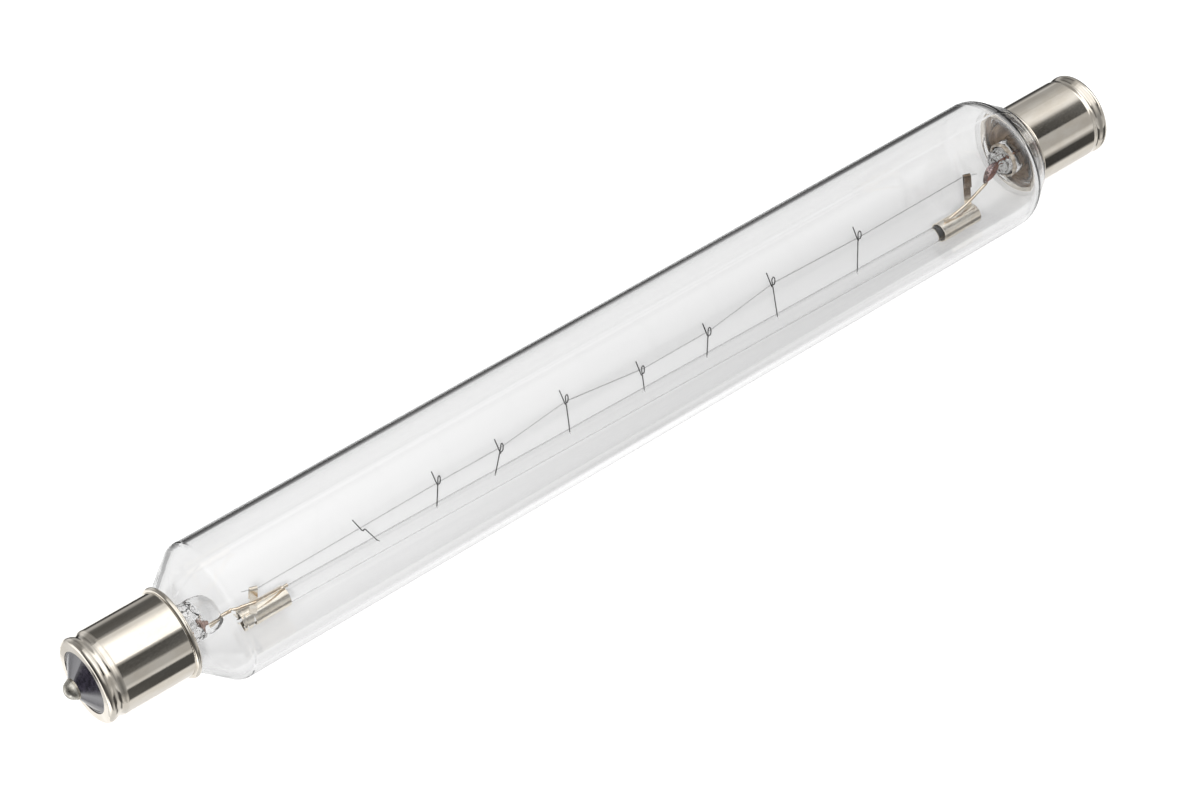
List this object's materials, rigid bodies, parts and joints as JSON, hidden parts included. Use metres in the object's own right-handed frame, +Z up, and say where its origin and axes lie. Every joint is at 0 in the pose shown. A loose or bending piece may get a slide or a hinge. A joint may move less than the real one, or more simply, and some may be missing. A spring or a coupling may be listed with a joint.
{
  "type": "double-ended tubular bulb",
  "caption": "Clear tubular filament lamp with a contact cap at each end and a coil held on hooks along a glass rod.",
  "frame": {"origin": "middle of the lamp, on its axis", "axes": "+X along the lamp's axis to the right cap, +Z up, from the support rod's side to the filament's"},
  "size_m": [0.221, 0.0242, 0.0242],
  "materials": {
    "clear_glass": "polished",
    "nickel_plate": "polished",
    "black_glass": "gloss",
    "brass_plate": "satin",
    "solder": "satin",
    "cement": "matte",
    "nickel_sheet": "polished",
    "nickel_wire": "polished",
    "copper_wire": "satin",
    "dumet_wire": "satin",
    "tungsten_coil": "satin",
    "hook_wire": "satin"
  },
  "bodies": {
    "root": {"glass_envelope": "clear_glass", "support_rod": "clear_glass", "left_stem": "clear_glass", "right_stem": "clear_glass", "left_cap_shell": "nickel_plate", "right_cap_shell": "nickel_plate", "left_insulator": "black_glass", "right_insulator": "black_glass", "left_eyelet": "brass_plate", "right_eyelet": "brass_plate", "left_solder": "solder", "right_solder": "solder", "left_cement": "cement", "right_cement": "cement", "left_clip": "nickel_sheet", "right_clip": "nickel_sheet", "left_inner_lead": "nickel_wire", "right_inner_lead": "nickel_wire", "left_outer_lead": "copper_wire", "right_outer_lead": "copper_wire", "left_seal_wire": "dumet_wire", "right_seal_wire": "dumet_wire", "filament": "tungsten_coil", "hook_1": "hook_wire", "hook_2": "hook_wire", "hook_3": "hook_wire", "hook_4": "hook_wire", "hook_5": "hook_wire", "hook_6": "hook_wire", "hook_7": "hook_wire", "hook_8": "hook_wire"}
  },
  "joints": []
}
